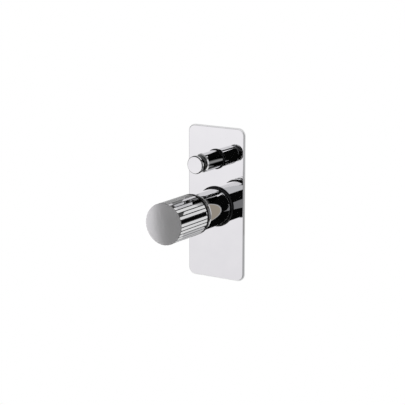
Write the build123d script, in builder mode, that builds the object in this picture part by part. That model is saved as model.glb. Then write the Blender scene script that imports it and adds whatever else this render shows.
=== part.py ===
from build123d import *
from math import cos, pi, radians, sin
import os

# Concealed shower mixer: a faceted knob that opens and warms the water, and a pull knob above it
# that sends the water to the upper or the lower outlet.
# Frame: +X right, +Z up, the user stands at -Y, and the finished wall is the plane Y = 0.
# A depth is a Y position: negative in front of the wall, positive inside it. Sizes in millimetres.

# Fits
fit_clearance = 0.05  # radial, pieces that screw or push together
running_clearance = 0.06  # radial, pieces that turn or slide in each other
face_clearance = 0.05  # axial, faces that pass or press on each other
side_clearance = 0.2  # beside a piece that turns or is dropped in

# Face plate and its gasket
plate_width = 75.5
plate_height = 180
plate_thickness = 3
plate_corner = 8.5
plate_edge = 1.5
gasket_inset = 3.5
gasket_width = 5
gasket_depth = 1.4

# Heights of the two controls
mixer_z = -4
diverter_z = 52

# Mixer trim
tower_radius = 20
sleeve_wall = 1.6
sleeve_length = 44.5
sleeve_edge = 0.7
sleeve_lip = 1.5
sleeve_lip_width = 2.9
mixer_ring_width = 2.3
mixer_ring_height = 2.4
ring_edge = 2
plate_lap = 0.7
glide_ring_length = 5.6
neck_radius = 18

# Mixer knob
knob_gap = 5.1
knob_radius = 23.75
knob_length = 58.7
knob_facets = 36
facet_turn = 7.5
facet_groove = 0.55
facet_bevel = 0.5
knob_dome = 1.8
collar_length = 5.6
collar_edge = 0.35
collar_groove_width = 2.8
collar_groove_depth = 1.8
knob_front_wall = 8
insert_radius = 16
insert_reach = 24
insert_tail = 11.4

# Screws of the knob
grub_radius = 1.5
grub_length = 7
grub_bite = 0.9
grub_socket = 1.5
grub_socket_depth = 2.4
grub_setback = 6
grub_angle = -87.5  # the facet at the knob's underside
cap_screw_radius = 2
cap_screw_length = 16
cap_screw_head_radius = 3.5
cap_screw_head = 4
cap_screw_socket = 3
cap_screw_socket_depth = 2.2

# Cartridge
cartridge_radius = 17.5
chamber_floor = 20
cartridge_length = 37
cartridge_dome_radius = 12.9
cartridge_dome = 12
cartridge_wall = 3.5
base_thickness = 4
base_spigot = 3
port_circle = 10
port_radius = 2.9
cold_angle = 45
hot_angle = 135
port_seal_section = 0.7
disc_thickness = 4
disc_margin = 0.5
disc_pocket = 1.8
pocket_sweep = 49
pocket_lead = 36
driver_thickness = 5
driver_tab_width = 4
driver_tab_length = 5
driver_tab_depth = 1.6
stem_radius = 6
stem_seal_section = 0.68
stem_seal_groove = 1.7
stem_seal_spacing = 9
stop_ring_thickness = 3
stop_ring_inner = 9
stop_lug_angle = 40
stop_lug_start = -85
stop_margin = 1
mixer_travel = 130
spline_teeth = 16
spline_root = 4.3
spline_tip = 4.9
spline_tooth = 0.8
spline_length = 22
spline_gap = 2

# Cartridge nut
nut_wall = 0.75
nut_head = 5
nut_across_flats = 33

# Valve body in the wall
barrel_radius = 23
barrel_depth = 26
barrel_lead = 2
tower_length = 47
pipe_depth = 40
boss_radius = 14
boss_edge = 1
inlet_reach = 40
upper_reach = 86
lower_reach = -52
waterway_radius = 7
inlet_core = 5
riser_overlap = 3.5
mixed_radius = 3
spine_width = 24
spine_front = 34
body_rear = 64
gallery_width = 9
gallery_height = 6
gallery_wall = 3
drop_radius = 5
drop_depth = 54
lug_span = 54
lug_width = 16
lug_thickness = 8
lug_high_z = 24
lug_low_z = -34
lug_hole_radius = 3.25
cast_round = 3

# Pipe unions, G 1/2
union_shank_radius = 10.4
union_shank = 12
union_head = 15
union_across_flats = 27
thread_radius = 9.3
thread_depth = 13
washer_thickness = 1.5
washer_width = 2.5
check_valve_length = 9
check_valve_wall = 1.4
check_valve_disc = 3.6
check_valve_arm = 1.4
check_valve_arms = 3

# Diverter trim
headwork_neck_radius = 8.8
diverter_wall = 1.95
diverter_sleeve_length = 33
diverter_edge = 1.2
diverter_flange = 2.5
diverter_ring_width = 1.1
diverter_ring_height = 1.8
diverter_ring_edge = 0.95
diverter_plate_lap = 0.4
pull_radius = 10.4
pull_front = 45.3
pull_rim = 2.6
pull_edge = 1
pull_waist_radius = 9.6
pull_waist_sag = 0.9
pull_stem_radius = 6.5
pull_stem_end = 19
pull_thread_depth = 15

# Diverter headwork, rod and piston
headwork_front = 17
headwork_hex_front = 7
headwork_hex = 5
headwork_across_flats = 26
headwork_thread_radius = 11
headwork_thread = 6
cage_radius = 10.3
cage_bore = 8
cage_window = 7
cage_window_length = 7
cage_seal_section = 0.85
cage_seal_groove = 2
front_seat = 30
rear_seat = 44
rear_chamber_radius = 7.5
rear_chamber = 16
diverter_barrel_wall = 4
front_groove = 1.5
rod_radius = 2.5
rod_seal_section = 0.85
rod_seal_groove = 2
rod_seal_spacing = 9
rod_tail_radius = 2
rod_tail_spare = 1
piston_radius = 9.6
piston_thickness = 3
piston_hub = 5.4
piston_seal_radius = 9.2
piston_seal_thickness = 1.5
piston_nut_flats = 7
piston_nut_height = 3.2
spring_radius = 5.2
spring_wire = 0.45
spring_turns = 6

# Depths along the mixer's axis
plate_front = -plate_thickness
sleeve_front = plate_front - sleeve_length
knob_rear = sleeve_front - knob_gap
knob_rim = knob_rear - knob_length
collar_front = knob_rear - collar_length
grub_depth = collar_front - grub_setback
insert_rear = knob_rear + insert_tail
insert_front = knob_rear - insert_reach
screw_seat = insert_front + cap_screw_head + side_clearance
tower_front = chamber_floor - tower_length
shoulder = chamber_floor - cartridge_length
dome_front = shoulder - cartridge_dome
base_front = chamber_floor - base_thickness
fixed_disc_rear = base_front - base_spigot
moving_disc_rear = fixed_disc_rear - disc_thickness - face_clearance
driver_rear = moving_disc_rear - disc_thickness - face_clearance
driver_front = driver_rear - driver_thickness
spline_rear = insert_rear + spline_gap
spline_front = spline_rear - spline_length

# Radii along the mixer's axis
sleeve_bore = tower_radius + fit_clearance
sleeve_radius = sleeve_bore + sleeve_wall
lip_radius = sleeve_radius - sleeve_lip_width
chamber_radius = cartridge_radius + fit_clearance
nut_radius = chamber_radius + nut_wall
nut_bore = cartridge_dome_radius + fit_clearance
cartridge_bore = cartridge_radius - cartridge_wall
disc_radius = cartridge_bore - disc_margin
mixer_ring_bore = sleeve_radius + fit_clearance
mixer_plate_hole = sleeve_radius - plate_lap
facet_radius = knob_radius * cos(pi / knob_facets)
grub_seat_radius = insert_radius - grub_bite
tab_circle = disc_radius - driver_tab_length
port_seat_radius = port_radius + 2 * port_seal_section

# Depths and radii along the diverter's axis
pull_face = plate_front - pull_front
pull_rear = plate_front - pull_stem_end
diverter_front = plate_front - diverter_sleeve_length
diverter_bore = headwork_neck_radius + fit_clearance
diverter_radius = diverter_bore + diverter_wall
diverter_ring_bore = diverter_radius + fit_clearance
diverter_plate_hole = diverter_radius - diverter_plate_lap
headwork_tip = plate_front - headwork_front
headwork_hex_rear = headwork_hex_front + headwork_hex
diverter_mouth = headwork_hex_rear + washer_thickness
cage_front = diverter_mouth + headwork_thread
window_depth = cage_front + cage_window_length / 2
diverter_chamber_radius = headwork_thread_radius + fit_clearance
diverter_barrel_radius = diverter_chamber_radius + diverter_barrel_wall
rod_bore = rod_radius + running_clearance
piston_rear = rear_seat - face_clearance
flange_rear = piston_rear - piston_seal_thickness
flange_front = flange_rear - piston_thickness
piston_front = flange_front - piston_seal_thickness

# Where the ports of the cartridge, the waterways and the pipes lie
port_spots = [
    (port_circle * cos(radians(cold_angle)), mixer_z + port_circle * sin(radians(cold_angle))),
    (port_circle * cos(radians(hot_angle)), mixer_z + port_circle * sin(radians(hot_angle))),
    (0, mixer_z),
]
inlet_z = port_spots[0][1]
mixed_depth = (front_seat + rear_seat) / 2
upper_gallery_z = diverter_z + diverter_chamber_radius + gallery_wall
lower_gallery_z = mixer_z - barrel_radius - gallery_height
hot_mouth = Plane(origin=(-inlet_reach, pipe_depth, inlet_z), z_dir=(-1, 0, 0))
cold_mouth = Plane(origin=(inlet_reach, pipe_depth, inlet_z), z_dir=(1, 0, 0))
upper_mouth = Plane(origin=(0, pipe_depth, upper_reach), z_dir=(0, 0, 1))
lower_mouth = Plane(origin=(0, pipe_depth, lower_reach), z_dir=(0, 0, -1))
pipe_mouths = [hot_mouth, cold_mouth, upper_mouth, lower_mouth]

mixer_axis = Axis((0, 0, mixer_z), (0, 1, 0))
diverter_axis = Axis((0, 0, diverter_z), (0, 1, 0))


def at_depth(depth, height=0):
    """The upright plane at a depth, facing the user, its origin on the centre line at a height."""
    return Plane(origin=(0, depth, height), x_dir=(1, 0, 0), z_dir=(0, -1, 0))


def disc(plane, radius, bore=0):
    """A round profile about a plane's origin, with a bore if one is given."""
    with BuildSketch(plane) as profile:
        Circle(radius)
        if bore:
            Circle(bore, mode=Mode.SUBTRACT)
    return profile.sketch


def hexagon(plane, across_flats, bore=0):
    """A hexagon about a plane's origin, with a bore if one is given."""
    with BuildSketch(plane) as profile:
        RegularPolygon(across_flats / 2, 6, major_radius=False)
        if bore:
            Circle(bore, mode=Mode.SUBTRACT)
    return profile.sketch


def block(plane, width, height):
    """A rectangle about a plane's origin."""
    with BuildSketch(plane) as profile:
        Rectangle(width, height)
    return profile.sketch


def half_section(height, *points):
    """Half the section of a turned piece, as (radius, depth) points beside the axis at a height."""
    with BuildSketch(Plane.XY.offset(height)) as section:
        with BuildLine():
            Polyline(*points, close=True)
        make_face()
    return section.sketch


def groove_points(surface, floor, depths, width):
    """The corners of square grooves in a turned surface, listed from the rear one forward."""
    points = []
    for depth in depths:
        points += [(surface, depth + width / 2), (floor, depth + width / 2)]
        points += [(floor, depth - width / 2), (surface, depth - width / 2)]
    return points


def sector(plane, radius, start, sweep):
    """A pie slice about a plane's origin, from a start angle round by a sweep."""
    with BuildSketch(plane) as slice_of_pie:
        with BuildLine():
            rim = CenterArc((0, 0), radius, start, sweep)
            Line((0, 0), rim @ 0)
            Line(rim @ 1, (0, 0))
        make_face()
    return slice_of_pie.sketch


def spline_profile(plane, clearance=0):
    """The toothed section that turns the spindle and the knob's insert together."""
    tooth_length = 2 * (spline_tip - spline_root)
    with BuildSketch(plane) as outline:
        Circle(spline_root + clearance)
        with PolarLocations(spline_root, spline_teeth):
            Rectangle(tooth_length + 2 * clearance, spline_tooth + 2 * clearance)
    return outline.sketch


def gasket_profile(inset, width):
    """The rounded frame of the gasket, at an inset from the plate's edge."""
    with BuildSketch(at_depth(0)) as frame:
        RectangleRounded(plate_width - 2 * inset, plate_height - 2 * inset, plate_corner - inset)
        Rectangle(
            plate_width - 2 * (inset + width), plate_height - 2 * (inset + width), mode=Mode.SUBTRACT
        )
    return frame.sketch


# Face plate: rounded rectangle, eased front edge, a groove for the gasket and a hole for each control
with BuildPart() as face_plate:
    with BuildSketch(at_depth(0)):
        RectangleRounded(plate_width, plate_height, plate_corner)
    extrude(amount=plate_thickness)
    fillet(face_plate.faces().sort_by(Axis.Y)[0].edges(), plate_edge)
    extrude(gasket_profile(gasket_inset, gasket_width), amount=gasket_depth, mode=Mode.SUBTRACT)
    extrude(disc(at_depth(0, mixer_z), mixer_plate_hole), amount=plate_thickness, mode=Mode.SUBTRACT)
    extrude(disc(at_depth(0, diverter_z), diverter_plate_hole), amount=plate_thickness, mode=Mode.SUBTRACT)

# Gasket: foam frame that fills the groove and meets the wall
with BuildPart() as plate_gasket:
    extrude(
        gasket_profile(gasket_inset + fit_clearance, gasket_width - 2 * fit_clearance),
        amount=gasket_depth,
    )

# Rubber rings that close the plate's holes round the tower and the headwork
with BuildPart() as mixer_plate_seal:
    extrude(
        disc(at_depth(0, mixer_z), mixer_plate_hole - fit_clearance, tower_radius + fit_clearance),
        amount=plate_thickness,
    )

with BuildPart() as diverter_plate_seal:
    extrude(
        disc(
            at_depth(0, diverter_z),
            diverter_plate_hole - fit_clearance,
            headwork_neck_radius + fit_clearance,
        ),
        amount=plate_thickness,
    )

# Low rings where each control meets the plate
with BuildPart() as mixer_trim_ring:
    extrude(
        disc(at_depth(plate_front, mixer_z), mixer_ring_bore + mixer_ring_width, mixer_ring_bore),
        amount=mixer_ring_height,
    )
    fillet(mixer_trim_ring.edges().group_by(Axis.Y)[0].sort_by(SortBy.LENGTH)[-1], ring_edge)

with BuildPart() as diverter_trim_ring:
    extrude(
        disc(
            at_depth(plate_front, diverter_z),
            diverter_ring_bore + diverter_ring_width,
            diverter_ring_bore,
        ),
        amount=diverter_ring_height,
    )
    fillet(
        diverter_trim_ring.edges().group_by(Axis.Y)[0].sort_by(SortBy.LENGTH)[-1], diverter_ring_edge
    )

# Mixer sleeve: tube that screws onto the tower, with an inward lip at its front
with BuildPart() as mixer_sleeve:
    revolve(
        half_section(
            mixer_z,
            (sleeve_bore, plate_front),
            (sleeve_radius, plate_front),
            (sleeve_radius, sleeve_front),
            (lip_radius, sleeve_front),
            (lip_radius, sleeve_front + sleeve_lip),
            (sleeve_bore, sleeve_front + sleeve_lip),
        ),
        axis=mixer_axis,
    )
    chamfer(mixer_sleeve.edges().group_by(Axis.Y)[0].sort_by(SortBy.LENGTH)[-1], sleeve_edge)

# Glide ring: plastic bush behind the lip, in which the knob's neck turns
glide_rear = sleeve_front + sleeve_lip + face_clearance + glide_ring_length
with BuildPart() as glide_ring:
    extrude(
        disc(
            at_depth(glide_rear, mixer_z),
            sleeve_bore - fit_clearance,
            neck_radius + running_clearance,
        ),
        amount=glide_ring_length,
    )

# Mixer knob: flat facets parted by fine grooves, a plain collar at the rear, a gently domed face
dome_radius = (knob_radius**2 + knob_dome**2) / (2 * knob_dome)
dome_top = knob_rim - knob_dome
grub_way = Plane(
    origin=(0, grub_depth, mixer_z), z_dir=(cos(radians(grub_angle)), 0, sin(radians(grub_angle)))
)
with BuildPart() as mixer_knob:
    with BuildSketch(at_depth(collar_front, mixer_z)):
        RegularPolygon(knob_radius, knob_facets, rotation=facet_turn)
        with PolarLocations(knob_radius, knob_facets, start_angle=facet_turn):
            Circle(facet_groove, mode=Mode.SUBTRACT)
    extrude(amount=collar_front - dome_top)
    with Locations((0, dome_top + dome_radius, mixer_z)):
        Sphere(dome_radius, mode=Mode.INTERSECT)
    revolve(
        half_section(
            mixer_z,
            (facet_radius - facet_bevel, collar_front),
            (facet_radius + facet_bevel, collar_front),
            (facet_radius + facet_bevel, collar_front - 2 * facet_bevel),
        ),
        axis=mixer_axis,
        mode=Mode.SUBTRACT,
    )
    revolve(
        half_section(
            mixer_z,
            (0, collar_front),
            (facet_radius - collar_groove_depth, collar_front),
            (facet_radius - collar_groove_depth, collar_front + collar_groove_width),
            (facet_radius - collar_edge, collar_front + collar_groove_width),
            (facet_radius, collar_front + collar_groove_width + collar_edge),
            (facet_radius, knob_rear - collar_edge),
            (facet_radius - collar_edge, knob_rear),
            (0, knob_rear),
        ),
        axis=mixer_axis,
    )
    extrude(
        disc(at_depth(knob_rear, mixer_z), insert_radius + fit_clearance),
        amount=knob_length - knob_front_wall,
        mode=Mode.SUBTRACT,
    )
    extrude(disc(grub_way, grub_radius + fit_clearance), amount=knob_radius, mode=Mode.SUBTRACT)

# Knob insert: neck that turns in the glide ring, spigot in the knob, splined bore on the spindle
grub_seat_width = 2 * (grub_radius + side_clearance)
with BuildPart() as knob_insert:
    revolve(
        half_section(
            mixer_z,
            (0, insert_rear),
            (neck_radius, insert_rear),
            (neck_radius, knob_rear),
            (insert_radius, knob_rear),
            *groove_points(insert_radius, grub_seat_radius, [grub_depth], grub_seat_width),
            (insert_radius, insert_front),
            (0, insert_front),
        ),
        axis=mixer_axis,
    )
    extrude(
        spline_profile(at_depth(insert_rear, mixer_z), fit_clearance),
        amount=insert_rear - spline_front + spline_gap,
        mode=Mode.SUBTRACT,
    )
    extrude(
        disc(at_depth(spline_front, mixer_z), cap_screw_radius + fit_clearance),
        amount=spline_front - insert_front,
        mode=Mode.SUBTRACT,
    )
    extrude(
        disc(at_depth(screw_seat, mixer_z), cap_screw_head_radius + fit_clearance),
        amount=screw_seat - insert_front,
        mode=Mode.SUBTRACT,
    )

# Cap screw that draws the insert onto the spindle
screw_front = screw_seat - cap_screw_head
with BuildPart() as insert_screw:
    extrude(disc(at_depth(screw_seat, mixer_z), cap_screw_head_radius), amount=cap_screw_head)
    extrude(
        disc(at_depth(screw_seat + cap_screw_length, mixer_z), cap_screw_radius), amount=cap_screw_length
    )
    extrude(
        hexagon(at_depth(screw_front, mixer_z), cap_screw_socket),
        amount=-cap_screw_socket_depth,
        mode=Mode.SUBTRACT,
    )

# Grub screw up through a facet on the knob's underside, its tip in the insert's groove
grub_tip = grub_way.offset(grub_seat_radius + fit_clearance)
with BuildPart() as knob_grub_screw:
    extrude(disc(grub_tip, grub_radius), amount=grub_length)
    extrude(
        hexagon(grub_tip.offset(grub_length), grub_socket), amount=-grub_socket_depth, mode=Mode.SUBTRACT
    )

# Cartridge nut: threaded ring in the tower's mouth with a hexagon in front
with BuildPart() as cartridge_nut:
    extrude(
        disc(at_depth(shoulder, mixer_z), nut_radius - fit_clearance, nut_bore),
        amount=shoulder - tower_front,
    )
    extrude(hexagon(at_depth(tower_front, mixer_z), nut_across_flats, nut_bore), amount=nut_head)

# Cartridge housing: stepped shell with a shoulder for the nut and a neck for the spindle
with BuildPart() as cartridge_housing:
    revolve(
        half_section(
            mixer_z,
            (cartridge_bore, base_front),
            (cartridge_radius, base_front),
            (cartridge_radius, shoulder),
            (cartridge_dome_radius, shoulder),
            (cartridge_dome_radius, dome_front),
            (stem_radius + running_clearance, dome_front),
            (stem_radius + running_clearance, driver_front - side_clearance),
            (cartridge_bore, driver_front - side_clearance),
        ),
        axis=mixer_axis,
    )

# Cartridge base: disc with the cold, hot and mixed ports and a seat for a seal round each
with BuildPart() as cartridge_base:
    extrude(disc(at_depth(chamber_floor, mixer_z), cartridge_radius), amount=base_thickness)
    extrude(disc(at_depth(base_front, mixer_z), cartridge_bore - fit_clearance), amount=base_spigot)
    with BuildSketch(at_depth(chamber_floor)):
        with Locations(*port_spots):
            Circle(port_radius)
    extrude(amount=base_thickness + base_spigot, mode=Mode.SUBTRACT)
    with BuildSketch(at_depth(chamber_floor)):
        with Locations(*port_spots):
            Circle(port_seat_radius)
    extrude(amount=2 * port_seal_section, mode=Mode.SUBTRACT)

with BuildPart() as port_seals:
    with Locations(*[(x, chamber_floor - port_seal_section, z) for x, z in port_spots]):
        Torus(port_radius + port_seal_section, port_seal_section, rotation=(90, 0, 0))

# Ceramic discs: the fixed one has the ports, the moving one a pocket from its centre to its rim
with BuildPart() as fixed_ceramic_disc:
    extrude(disc(at_depth(fixed_disc_rear, mixer_z), disc_radius), amount=disc_thickness)
    with BuildSketch(at_depth(fixed_disc_rear)):
        with Locations(*port_spots):
            Circle(port_radius)
    extrude(amount=disc_thickness, mode=Mode.SUBTRACT)

pocket_end = cold_angle - pocket_lead
with BuildPart() as moving_ceramic_disc:
    extrude(disc(at_depth(moving_disc_rear, mixer_z), disc_radius), amount=disc_thickness)
    with BuildSketch(at_depth(moving_disc_rear, mixer_z)):
        with BuildLine(mode=Mode.PRIVATE):
            pocket_line = CenterArc((0, 0), port_circle, pocket_end - pocket_sweep, pocket_sweep)
        SlotArc(pocket_line, 2 * port_radius)
        Circle(port_radius)
        with PolarLocations(port_circle / 2, 1, start_angle=pocket_end - pocket_sweep / 2):
            Rectangle(port_circle, 2 * port_radius)
    extrude(amount=disc_pocket, mode=Mode.SUBTRACT)
    with BuildSketch(at_depth(moving_disc_rear - disc_thickness, mixer_z)):
        with PolarLocations(tab_circle, 2):
            Rectangle(driver_tab_length + 2 * side_clearance, driver_tab_width + 2 * side_clearance)
    extrude(amount=-driver_tab_depth, mode=Mode.SUBTRACT)

# Spindle: driver with two tabs, stem with seal grooves, stop lug and splined end
stem_seal_middle = (driver_front + dome_front) / 2
stem_seal_depths = [stem_seal_middle + stem_seal_spacing / 2, stem_seal_middle - stem_seal_spacing / 2]
with BuildPart() as cartridge_spindle:
    revolve(
        half_section(
            mixer_z,
            (0, driver_rear),
            (disc_radius, driver_rear),
            (disc_radius, driver_front),
            (stem_radius, driver_front),
            *groove_points(
                stem_radius, stem_radius - 2 * stem_seal_section, stem_seal_depths, stem_seal_groove
            ),
            (stem_radius, spline_rear),
            (0, spline_rear),
        ),
        axis=mixer_axis,
    )
    with BuildSketch(at_depth(driver_rear, mixer_z)):
        with PolarLocations(tab_circle, 2):
            Rectangle(driver_tab_length, driver_tab_width)
    extrude(amount=-driver_tab_depth)
    extrude(
        sector(
            at_depth(dome_front - side_clearance, mixer_z),
            stop_ring_inner - running_clearance,
            stop_lug_start,
            stop_lug_angle,
        ),
        amount=stop_ring_thickness,
    )
    extrude(spline_profile(at_depth(spline_rear, mixer_z)), amount=spline_length)
    extrude(
        disc(at_depth(spline_front, mixer_z), cap_screw_radius + fit_clearance),
        amount=-cap_screw_length,
        mode=Mode.SUBTRACT,
    )

with BuildPart() as spindle_seals:
    with Locations(*[(0, depth, mixer_z) for depth in stem_seal_depths]):
        Torus(stem_radius - stem_seal_section, stem_seal_section, rotation=(90, 0, 0))

# Stop ring on the cartridge's dome: its gap lets the spindle's lug swing through the knob's travel
with BuildPart() as stop_ring:
    extrude(
        disc(at_depth(dome_front, mixer_z), cartridge_dome_radius, stem_radius + side_clearance),
        amount=stop_ring_thickness,
    )
    extrude(
        sector(
            at_depth(dome_front, mixer_z),
            stop_ring_inner,
            stop_lug_start - stop_margin,
            stop_lug_angle + mixer_travel + 2 * stop_margin,
        ),
        amount=stop_ring_thickness,
        mode=Mode.SUBTRACT,
    )

# Valve body: cast chambers on a spine, a tower to the front, a boss for each pipe, two pairs of lugs
spine_low = lower_gallery_z - gallery_wall
spine_high = upper_gallery_z + gallery_height + gallery_wall
hood_front = cage_front - gallery_wall
lug_middle = (lug_high_z + lug_low_z) / 2
with BuildPart() as valve_body:
    extrude(
        disc(at_depth(chamber_floor + barrel_depth, mixer_z), barrel_radius),
        amount=barrel_depth + barrel_lead,
    )
    extrude(disc(at_depth(chamber_floor, mixer_z), tower_radius), amount=tower_length)
    extrude(
        disc(at_depth(body_rear, diverter_z), diverter_barrel_radius), amount=body_rear - diverter_mouth
    )
    with BuildSketch(Plane((0, (spine_front + body_rear) / 2, spine_low))):
        RectangleRounded(spine_width, body_rear - spine_front, cast_round)
    extrude(amount=spine_high - spine_low)
    with BuildSketch(Plane((0, (hood_front + pipe_depth) / 2, diverter_z))):
        RectangleRounded(gallery_width + 2 * gallery_wall, pipe_depth - hood_front, cast_round)
    extrude(amount=spine_high - diverter_z)
    extrude(disc(cold_mouth, boss_radius), amount=-2 * inlet_reach)
    extrude(disc(upper_mouth, boss_radius), amount=lower_reach - upper_reach)
    for way in (Axis.X, Axis.Z):
        chamfer(valve_body.edges().group_by(way)[0] + valve_body.edges().group_by(way)[-1], boss_edge)
    with BuildSketch(at_depth(body_rear)):
        with Locations((0, lug_high_z), (0, lug_low_z)):
            SlotCenterToCenter(lug_span, lug_width)
    extrude(amount=lug_thickness)
    # screw holes of the lugs
    with BuildSketch(at_depth(body_rear, lug_middle)):
        with GridLocations(lug_span, lug_high_z - lug_low_z, 2, 2):
            Circle(lug_hole_radius)
    extrude(amount=lug_thickness, mode=Mode.SUBTRACT)
    # cartridge chamber, and the wider mouth for its nut
    extrude(
        disc(at_depth(chamber_floor, mixer_z), chamber_radius), amount=tower_length, mode=Mode.SUBTRACT
    )
    extrude(
        disc(at_depth(shoulder, mixer_z), nut_radius), amount=shoulder - tower_front, mode=Mode.SUBTRACT
    )
    # hot and cold from the pipes to the chamber's floor, mixed water from there up to the diverter
    riser_rear = pipe_depth - waterway_radius + riser_overlap
    with BuildSketch(at_depth(riser_rear)):
        with Locations(*port_spots[:2]):
            Circle(port_radius)
    extrude(amount=riser_rear - chamber_floor, mode=Mode.SUBTRACT)
    extrude(disc(hot_mouth, waterway_radius), amount=inlet_core - inlet_reach, mode=Mode.SUBTRACT)
    extrude(disc(cold_mouth, waterway_radius), amount=inlet_core - inlet_reach, mode=Mode.SUBTRACT)
    extrude(
        disc(at_depth(mixed_depth, mixer_z), port_radius),
        amount=mixed_depth - chamber_floor,
        mode=Mode.SUBTRACT,
    )
    extrude(
        disc(Plane((0, mixed_depth, mixer_z)), mixed_radius),
        amount=diverter_z - rear_chamber_radius - mixer_z,
        mode=Mode.SUBTRACT,
    )
    # diverter chamber with its rear seat, the groove round its cage and the room behind the seat
    extrude(
        disc(at_depth(rear_seat, diverter_z), diverter_chamber_radius),
        amount=rear_seat - diverter_mouth,
        mode=Mode.SUBTRACT,
    )
    extrude(
        disc(at_depth(cage_front + cage_window_length, diverter_z), diverter_chamber_radius + front_groove),
        amount=cage_window_length,
        mode=Mode.SUBTRACT,
    )
    extrude(
        disc(at_depth(rear_seat + rear_chamber, diverter_z), rear_chamber_radius),
        amount=rear_chamber,
        mode=Mode.SUBTRACT,
    )
    # from the groove up and back to the upper outlet
    extrude(
        disc(Plane((0, window_depth, diverter_z)), port_radius),
        amount=upper_gallery_z + gallery_height / 2 - diverter_z,
        mode=Mode.SUBTRACT,
    )
    extrude(
        block(
            Plane((0, (window_depth + pipe_depth) / 2, upper_gallery_z)),
            gallery_width,
            pipe_depth - window_depth,
        ),
        amount=gallery_height,
        mode=Mode.SUBTRACT,
    )
    extrude(disc(upper_mouth, waterway_radius), amount=upper_gallery_z - upper_reach, mode=Mode.SUBTRACT)
    # from behind the rear seat down and forward to the lower outlet
    extrude(
        disc(Plane((0, drop_depth, lower_gallery_z)), drop_radius),
        amount=diverter_z - lower_gallery_z,
        mode=Mode.SUBTRACT,
    )
    extrude(
        block(
            Plane((0, (pipe_depth + drop_depth) / 2, lower_gallery_z)), gallery_width, drop_depth - pipe_depth
        ),
        amount=gallery_height,
        mode=Mode.SUBTRACT,
    )
    extrude(
        disc(lower_mouth, waterway_radius),
        amount=lower_reach - lower_gallery_z - gallery_height,
        mode=Mode.SUBTRACT,
    )
    # threaded mouths for the unions
    for mouth in pipe_mouths:
        extrude(disc(mouth, union_shank_radius + fit_clearance), amount=-union_shank, mode=Mode.SUBTRACT)


def pipe_union(mouth):
    """A brass union screwed into a boss: threaded shank, hexagon and a female pipe thread."""
    with BuildPart() as union:
        extrude(
            disc(mouth.offset(face_clearance - union_shank), union_shank_radius),
            amount=union_shank + washer_thickness,
        )
        extrude(hexagon(mouth.offset(washer_thickness), union_across_flats), amount=union_head)
        end = mouth.offset(washer_thickness + union_head)
        extrude(disc(end, thread_radius), amount=-thread_depth, mode=Mode.SUBTRACT)
        extrude(disc(end, waterway_radius), amount=-union_head - 2 * union_shank, mode=Mode.SUBTRACT)
    return union


hot_inlet_union = pipe_union(hot_mouth)
cold_inlet_union = pipe_union(cold_mouth)
upper_outlet_union = pipe_union(upper_mouth)
lower_outlet_union = pipe_union(lower_mouth)

# Sealing washers between the unions and the body
washer_bore = union_shank_radius + fit_clearance
with BuildPart() as union_washers:
    for mouth in pipe_mouths:
        extrude(disc(mouth, washer_bore + washer_width, washer_bore), amount=washer_thickness)

# Non-return valves in the shanks of the two inlets: a tube with a disc on a spider
check_valve_radius = waterway_radius - fit_clearance
with BuildPart() as check_valves:
    for mouth in (hot_mouth, cold_mouth):
        with BuildSketch(mouth.offset(-union_shank)):
            Circle(check_valve_radius)
            Circle(check_valve_radius - check_valve_wall, mode=Mode.SUBTRACT)
            Circle(check_valve_disc)
            with PolarLocations(check_valve_radius / 2, check_valve_arms):
                Rectangle(check_valve_radius - check_valve_wall, check_valve_arm)
        extrude(amount=check_valve_length)

# Diverter sleeve: tube that screws onto the headwork, its flange guides the pull knob's stem
with BuildPart() as diverter_sleeve:
    revolve(
        half_section(
            diverter_z,
            (diverter_bore, plate_front),
            (diverter_radius, plate_front),
            (diverter_radius, diverter_front),
            (pull_stem_radius + running_clearance, diverter_front),
            (pull_stem_radius + running_clearance, diverter_front + diverter_flange),
            (diverter_bore, diverter_front + diverter_flange),
        ),
        axis=diverter_axis,
    )
    chamfer(diverter_sleeve.edges().group_by(Axis.Y)[0].sort_by(SortBy.LENGTH)[-1], diverter_edge)

# Pull knob: disc cap, hollowed waist for the fingers and a stem bored for the rod
cap_rear = pull_face + pull_rim
waist_rear = diverter_front - side_clearance
pull_bore = rod_radius + fit_clearance
with BuildPart() as diverter_knob:
    with BuildSketch(Plane.XY.offset(diverter_z)):
        with BuildLine():
            Polyline(
                (0, pull_rear - pull_thread_depth),
                (0, pull_face),
                (pull_radius - pull_edge, pull_face),
                (pull_radius, pull_face + pull_edge),
                (pull_radius, cap_rear),
                (pull_waist_radius, cap_rear),
            )
            ThreePointArc(
                (pull_waist_radius, cap_rear),
                (pull_waist_radius - pull_waist_sag, (cap_rear + waist_rear) / 2),
                (pull_waist_radius, waist_rear),
            )
            Polyline(
                (pull_waist_radius, waist_rear),
                (pull_stem_radius, waist_rear),
                (pull_stem_radius, pull_rear),
                (pull_bore, pull_rear),
                (pull_bore, pull_rear - pull_thread_depth),
                (0, pull_rear - pull_thread_depth),
            )
        make_face()
    revolve(axis=diverter_axis)

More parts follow.
